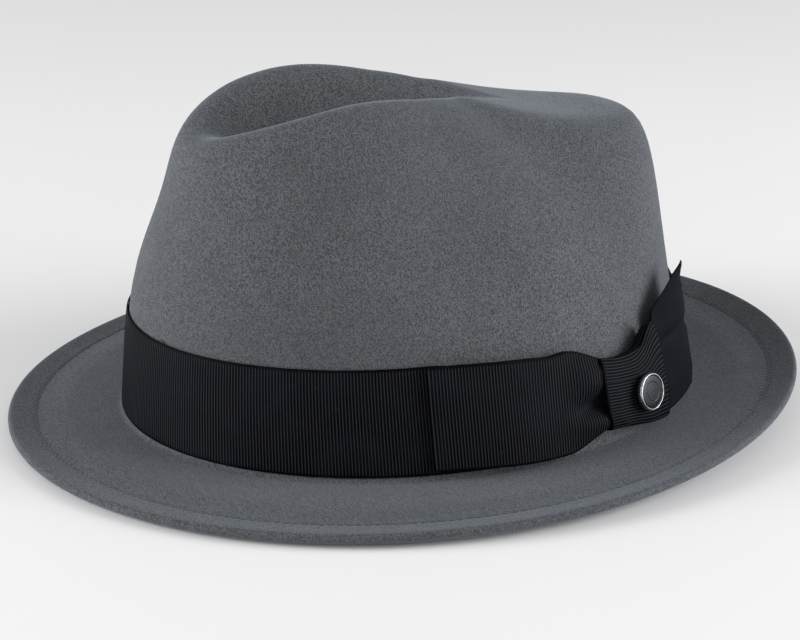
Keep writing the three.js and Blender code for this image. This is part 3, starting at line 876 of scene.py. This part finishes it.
def bow_loop():
    """The front loop: a ribbon folded back on itself, its pleat sinking in where the knot holds it.

    It runs from the knot (u 0) under itself to the fold, and back on top to the knot (u 1). What
    happens near the knot is placed by the degrees past the knot's front edge.
    """
    def place(u, v):
        run = (0.5 - np.abs(u - 0.5)) / 0.44
        angle = mix(LOOP_END - 1.5, LOOP_FROM, np.sin(np.minimum(run, 1.15) * np.pi / 2.3))
        past = angle - KNOT_FROM
        on_top = smooth(0.38, 0.62, u)
        sag = LOOP_SAG * smooth(LOOP_FROM, KNOT_FROM - 13, angle)
        gather = smooth(-10, 1, past)
        lag = FAN * gather * on_top
        top = mix(LOOP_TOP - 0.5 - sag, KNOT_TOP - 1.2, smooth(-7.5, 3.5, past - lag))
        top = top - 0.9 * bump(past - lag + 10, 4) - 4 * smooth(2.5, 5, past)
        bottom = mix(LOOP_BOTTOM - 0.1 - sag, KNOT_BOTTOM + 5, smooth(-9.5, 2.5, past - lag))
        height = mix(bottom, top, v)
        from_pit = height - PIT_HEIGHT
        puff = 1.3 + 1.5 * np.sin(np.pi * smooth(LOOP_FROM, LOOP_END, angle)) ** 0.8
        ripple = 0.22 * drift(22 * v, 1.4 * angle, 3.2, 4) * smooth(-29, -19, past)
        standing = np.clip(puff + gather * loop_lobes(from_pit) + ripple, 0.1, 4.3)
        tucked = smooth(1.4, 2.8, past)
        out = LOOP_BACK + on_top * mix(standing, 2.6, tucked)
        return bow_place(angle - lag * smooth(0, 15, np.abs(from_pit)), height, out)

    made = ribbon("ribbon_loop", "bow_loop", place, 90, Ribs(RIB_HEIGHT, zero=0.5, by_thread=True))


def bow_knot():
    """The knot: a ribbon wrapped once round the gathered ribbons, flaring towards the back."""
    ends = 0.1  # in radians, how far up from straight ahead its two ends meet

    def place(u, v):
        wrap = ONE_TURN * u + ends
        up, forward = np.sin(wrap), np.cos(wrap)
        top = KNOT_TOP - 0.4 - 2 * np.sin(np.pi * np.clip(v / 0.85, 0, 1)) + 4 * smooth(0.66, 1, v)
        bottom = KNOT_BOTTOM + 3 - 4.2 * smooth(0, 1, v)
        height = (top + bottom) / 2 + (top - bottom) / 2 * rounded(up, 0.45)
        in_front = smooth(0, 0.6, forward)
        flare = 3.2 * smooth(0.5, 1, v) * smooth(-0.3, 0.5, up) * (1 - smooth(0.75, 1, up))
        pinch = 0.6 * bump(v - 0.45, 0.22) * in_front
        waves = 0.28 * np.sin(4.6 * np.pi * v + 1.5 * up) * in_front * smooth(0, 0.2, v)
        depth = (KNOT_FRONT - KNOT_BACK) / 2
        out = KNOT_BACK + depth * (1 + rounded(forward, 0.45)) - pinch + waves - 0.2
        angle = mix(KNOT_FROM + 0.2, KNOT_TO - 0.4, v) + 0.9 * in_front * (v - 0.5) * bump(up, 0.5)
        return bow_place(angle, height + flare * in_front, out)

    made = ribbon("ribbon_knot", "bow_knot", place, 50)


def bow_tail():
    """The tail: the ribbon's end, spreading up and away behind the knot, cut on a slant."""
    def place(u, v):
        low = mix(KNOT_BOTTOM + 6, KNOT_BOTTOM - 0.8, smooth(0.1, 0.35, u)) + 4.2 * smooth(0.35, 1, u)
        spreading = KNOT_TOP + (TAIL_TIP - KNOT_TOP) * u
        high = mix(KNOT_TOP - 3, spreading, smooth(0.26, 0.4, u))
        curl = smooth(0.86, 1, v) * smooth(0.8, 1, u)
        end = TAIL_TO - 0.4 - 2.2 * smooth(0.15, 0, v) + 1.2 * bump(v - 0.55, 0.3) + 0.6 * curl
        fold = 0.8 * bump(v - mix(0.75, 0.5, u), 0.05) * smooth(0.1, 0.5, u)
        waves = 0.4 * np.sin(6 * v + 2.2 * u) * smooth(0.15, 0.6, u)
        out = mix(KNOT_BACK + 1.6, 7.4, smooth(0.15, 0.9, u)) + waves - fold + 1.4 * curl
        return bow_place(mix(TAIL_START, end, u), mix(low, high, v), out)

    ribs = Ribs(SMOOTH_RIB_HEIGHT, by_thread=True)
    made = ribbon("ribbon_tail", "bow_tail", place, 60, ribs, finish=SMOOTH_GROSGRAIN)


def band_tacks():
    """Two crossing passes of thread at each place where the band is caught down."""
    reach = 1.2
    stations = 9
    sides = 8
    around = once_round(sides)
    for i, degrees in enumerate(TACKS):
        angle = math.radians(degrees)
        centre = bow_place(degrees, BAND_TOP + GAP, 0.35)
        tangent = np.array([math.cos(angle), math.sin(angle), 0])
        points = []
        for lean in (-0.25, 0.25):
            for position in np.linspace(-1, 1, stations):
                middle = centre + (tangent + UP * lean) * reach * position
                points.extend(middle + cord_section(np.array(angle), thread_radius(position), around))
        made = make_object(f"tack_{i + 1}", points, thread_faces(2, stations, sides))
        add_piece(face_everything_out(made), [f"band_tack_{i + 1}"], BLACK_THREAD)


# ---- the badge ----
def badge_frame():
    """A 4x4 frame on the knot, its third axis pointing away from the crown."""
    seat = KNOT_FRONT + RIBBON / 2 + GAP + 0.2
    origin = bow_place(BADGE_AT, BADGE_HEIGHT, seat)
    away = unit(bow_place(BADGE_AT, BADGE_HEIGHT, seat + 1) - origin)
    turned = Vector((0, 0, 1)).rotation_difference(Vector(away)).to_matrix()
    made = np.eye(4)
    made[:3, :3] = np.array(turned)
    made[:3, 3] = origin
    return made


def badge():
    """A bright rim round a dark face with a plain raised ring, on a pin with a clutch behind."""
    place = badge_frame()
    r = BADGE_RADIUS
    bezel = [
        [0, 0], [r - 0.4, 0], [r - 0.1, 0.3], [r, 0.9], [r - 0.05, 1.6], [r - 0.2, 2],
        [r - 0.45, 2.2], [r - 0.65, 2.1], [r - 0.75, 1.8], [r - 0.75, 1.2], [0, 1.2],
    ]
    plate = [
        [0, 1.35], [r - 0.85, 1.35], [r - 0.85, 1.85], [r - 1, 2], [r - 1.6, 2.1],
        [3.5, 2.2], [3.4, 2.14], [3.25, 2.14], [3.15, 2.22], [1.6, 2.28], [0, 2.3],
    ]
    pin = [[0, -3.1], [0.25, -2.9], [0.5, -2.4], [0.5, -0.2], [0, -0.2]]
    keeper = [[0.8, -2.4], [2.4, -2.4], [2.6, -2.2], [2.6, -1.7], [2.4, -1.5], [0.8, -1.5], [0.8, -2.4]]
    add_piece(lathe("badge_bezel", bezel, place), ["badge_rim"], BRIGHT, "badge")
    add_piece(lathe("badge_plate", plate, place), ["badge_face"], DARK, "badge")
    add_piece(lathe("badge_pin", pin, place), ["badge_post"], STEEL, "badge")
    add_piece(lathe("badge_keeper", keeper, place), ["badge_clutch"], STEEL, "badge")


# ---- inside the hat ----
def sweatband():
    """The leather band round the inside, which the head touches."""
    def place(u, v):
        turn = ONE_TURN * u
        wave = 0.3 * drift(80 * np.sin(turn), 100 * np.cos(turn) + 20 * v, 23, 6) * np.sin(np.pi * v)
        return offset(wall, turn, mix(-1.5, SWEATBAND_TOP, v), SWEATBAND_OUT + wave)

    leather = strip("sweatband_leather", place, LEATHER, rows=720, columns=26, closed=True)
    add_piece(leather, ["sweatband"], LEATHER_LOOK)


def reed_and_sewing():
    """The reed along the sweatband's lower edge, and the stitches that sew it to the felt."""
    def reed_path(turn):
        return offset(wall, turn, -1, -2)

    def sewing_path(turn):
        return offset(wall, turn, -1.6, -0.7)

    reed = cord_ring("reed_cord", reed_path, 0.68, 10, 1200, twists=300, twist_height=0.04)
    add_piece(reed, ["sweatband_reed"], PIPING_LOOK)
    sewing = stitch_row("sewing_stitches", sewing_path, SEWING_STITCHES, share=0.7, sink=-0.2)
    add_piece(sewing, ["sweatband_stitch"], BLACK_THREAD)


def patch(angle, height, wide, tall, stand_off, flare=0, wave=0):
    """A surface on the sweatband, a number of degrees wide, that flares towards its two ends."""
    def place(u, v):
        turn = np.radians(angle + (u - 0.5) * wide)
        up = height + (v - 0.5) * (tall + flare * np.abs(2 * u - 1))
        return offset(wall, turn, up, stand_off + wave * np.cos(5 * np.pi * u) * np.sin(np.pi * v))
    return place


def seam_tape():
    """The tape over the sweatband's seam at the back, and the small bow sewn on it."""
    tape = strip("seam_tape", patch(180, 24, 7, 44, TAPE_OUT), SATIN, rows=30, columns=30)
    add_piece(tape, ["sweatband_seam_tape"], TAPE_LOOK)

    place = patch(180, 8, 13, 3, INSIDE_BOW_OUT, flare=5, wave=0.15)
    inside_bow = strip("inside_bow", place, 0.9, 0, 16, ribs=Ribs(RIB_HEIGHT))
    add_piece(inside_bow, ["sweatband_bow"], GROSGRAIN)


def blank_label():
    """The size label, left blank."""
    label = strip("blank_label", patch(196, 24, 10, 11, TAPE_OUT), SATIN, rows=40, columns=24)
    add_piece(label, ["size_label"], LABEL_LOOK)


def lining_wall():
    """The lining's side, in soft tucks."""
    def place(u, v):
        turn = ONE_TURN * u
        tucks = 0.22 * np.cos(44 * turn) + 0.15 * np.cos(71 * turn + 1)
        return offset(crown, turn, mix(0.07, TIP_EDGE - 0.01, v), LINING_OUT + tucks * smooth(0, 0.4, v))

    made = strip("lining_wall", place, SATIN, rows=1100, columns=40, closed=True)
    add_piece(made, ["lining_side"], SATIN_LOOK)


def lining_tip():
    """The lining's oval across the top, tucked in round its edge."""
    turn = once_round(720)
    climbs = np.linspace(0.52, 0.97, 60)

    def layer(out):
        tucks = 0.2 * np.cos(60 * turn)
        return [offset(crown, turn, climb, out + tucks * smooth(0.62, 0.52, climb)) for climb in climbs]

    above = -(FELT + TIP_LOOSE)
    below = above - SATIN
    rings = [offset(crown, np.zeros(1), 1, below), *layer(below)[::-1], *layer(above)]
    rings.append(offset(crown, np.zeros(1), 1, above))
    tip = ring_body("lining_crown", rings)
    add_piece(tip, ["lining_tip"], SATIN_LOOK)


def lining_piping():
    """The piping between the lining's side and its tip."""
    def path(turn):
        return offset(crown, turn, TIP_EDGE, PIPING_OUT)

    made = cord_ring("piping_cord", path, 0.58, 12, 1600, twists=420, twist_height=0.05)
    add_piece(made, ["lining_piping"], PIPING_LOOK)


# ---- floor, room, lights and camera ----
def direction(azimuth, elevation):
    """The direction from the hat to a place, in degrees round from the front and up."""
    around, up = math.radians(azimuth), math.radians(elevation)
    return Vector((math.sin(around) * math.cos(up), -math.cos(around) * math.cos(up), math.sin(up)))


def place_facing(name, data, target, away, distance):
    """Adds a light or camera that looks at a target from a distance."""
    made = bpy.data.objects.new(name, data)
    bpy.context.scene.collection.objects.link(made)
    made.location = Vector(target) + away * distance
    made.rotation_mode = "QUATERNION"
    made.rotation_quaternion = away.to_track_quat("Z", "Y")
    return made


def floor():
    """A wide sheet of pale paper."""
    h = FLOOR_HALF
    corners = [(x, y, -FLOOR_DROP) for x, y in ((-h, -h), (h, -h), (h, h), (-h, h))]
    mesh = bpy.data.meshes.new("floor")
    mesh.from_pydata(corners, [], [(0, 1, 2, 3)])
    made = bpy.data.objects.new("floor", mesh)
    bpy.context.scene.collection.objects.link(made)
    paper = Finish("floor paper", Roughness=0.9)
    paper.finish(paper.blend(paper.noise(3, 2), colour((240, 240, 241)), colour((246, 246, 247))))
    mesh.materials.append(paper.material)


def softbox(name, azimuth, elevation, distance, power):
    """A square light a metre wide, aimed at the hat."""
    light = bpy.data.lights.new(name, "AREA")
    light.shape = "SQUARE"
    light.size = 1
    light.energy = power
    place_facing(name, light, (0, 0, 0.05), direction(azimuth, elevation), distance)


def room():
    """A white room that is bright at the sides and dimmer overhead."""
    world = bpy.data.worlds.new("studio")
    world.use_nodes = True
    tree = world.node_tree
    background = tree.nodes["Background"]
    background.inputs["Color"].default_value = (1, 1, 1, 1)
    place = tree.nodes.new("ShaderNodeTexCoord")
    parts = tree.nodes.new("ShaderNodeSeparateXYZ")
    fade = tree.nodes.new("ShaderNodeMapRange")
    fade.inputs["To Min"].default_value = HORIZON_GLOW
    fade.inputs["To Max"].default_value = ZENITH_GLOW
    tree.links.new(place.outputs["Generated"], parts.inputs[0])
    tree.links.new(parts.outputs["Z"], fade.inputs["Value"])
    tree.links.new(fade.outputs[0], background.inputs["Strength"])
    bpy.context.scene.world = world


def camera():
    """The camera, looking at the bow's side of the hat from a little above."""
    data = bpy.data.cameras.new("camera")
    data.lens = LENS
    data.sensor_width = SENSOR
    data.clip_start = 0.05
    data.clip_end = 30
    away = direction(CAMERA_AZIMUTH, CAMERA_ELEVATION)
    bpy.context.scene.camera = place_facing("camera", data, CAMERA_AIM, away, CAMERA_DISTANCE)


felt_body()
welt_stitches()
hat_band()
bow_loop()
bow_knot()
bow_tail()
band_tacks()
badge()
sweatband()
reed_and_sewing()
seam_tape()
blank_label()
lining_wall()
lining_tip()
lining_piping()
floor()
room()
softbox("right", azimuth=146, elevation=18, distance=1.6, power=27)
softbox("left", azimuth=-12, elevation=16, distance=1.7, power=29)
camera()
bpy.context.scene.view_settings.view_transform = "Standard"
bpy.context.scene.view_settings.look = "None"
